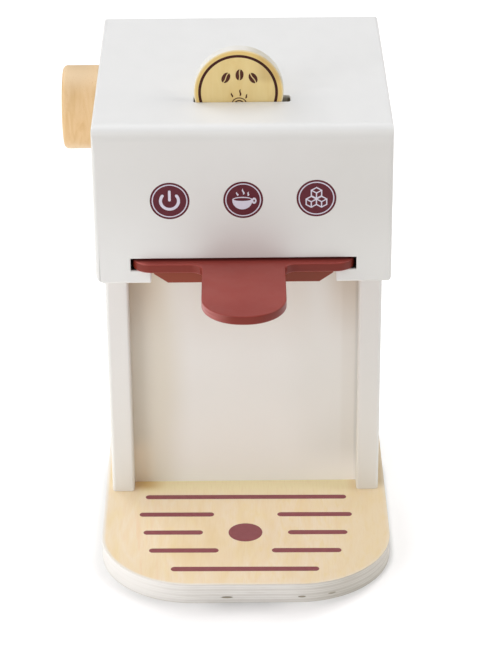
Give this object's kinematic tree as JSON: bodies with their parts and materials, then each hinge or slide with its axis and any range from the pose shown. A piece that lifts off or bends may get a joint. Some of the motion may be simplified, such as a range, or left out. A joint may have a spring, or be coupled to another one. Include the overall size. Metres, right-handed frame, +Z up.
{
  "type": "toy coffee maker",
  "caption": "Wooden toy coffee maker: painted cabinet with an overhanging head on a rounded plywood base, pull-out tray with a tongue, side knob and a coin in the top.",
  "frame": {"origin": "on the floor, under the middle of the base board", "axes": "+X to the coffee maker's right as seen from the front, +Y to its back, +Z up"},
  "size_m": [0.1393, 0.1756, 0.2311],
  "materials": {
    "cabinet_paint": "satin off-white paint on smooth board",
    "birch_ply": "matt clear varnish on birch plywood",
    "inner_wood": "bare sanded wood",
    "tray_paint": "satin terracotta paint",
    "coin_print": "printed yellow faces, off-white rim",
    "beech": "fine sanded beech, clear oil",
    "nylon": "plain nylon",
    "steel": "zinc-plated steel"
  },
  "bodies": {
    "cabinet": {"base_board": "birch_ply", "left_side_panel": "cabinet_paint", "right_side_panel": "cabinet_paint", "column_panel": "cabinet_paint", "back_panel": "cabinet_paint", "front_panel": "cabinet_paint", "top_panel": "cabinet_paint", "left_tray_rail": "inner_wood", "right_tray_rail": "inner_wood", "left_tray_keeper": "inner_wood", "right_tray_keeper": "inner_wood", "coin_cradle": "inner_wood", "base_screws": "steel", "top_dowels": "beech", "front_dowels": "beech"},
    "tray": {"tray_plate": "tray_paint", "tray_bar": "tray_paint"},
    "coin": {"coin": "coin_print"},
    "knob": {"knob": "beech", "knob_axle": "beech", "knob_washer": "nylon", "axle_collar": "beech"}
  },
  "joints": [
    {"name": "tray_slide", "type": "slide", "parent": "cabinet", "child": "tray", "axis": [0, -1, 0], "range_m": [0, 0.055]},
    {"name": "coin_lift", "type": "slide", "parent": "cabinet", "child": "coin", "axis": [0, 0, 1], "range_m": [0, 0.04]},
    {"name": "knob_turn", "type": "hinge", "parent": "cabinet", "child": "knob", "pos_m": [-0.0597, 0.0392, 0.1811], "axis": [-1, 0, 0], "continuous": true}
  ]
}
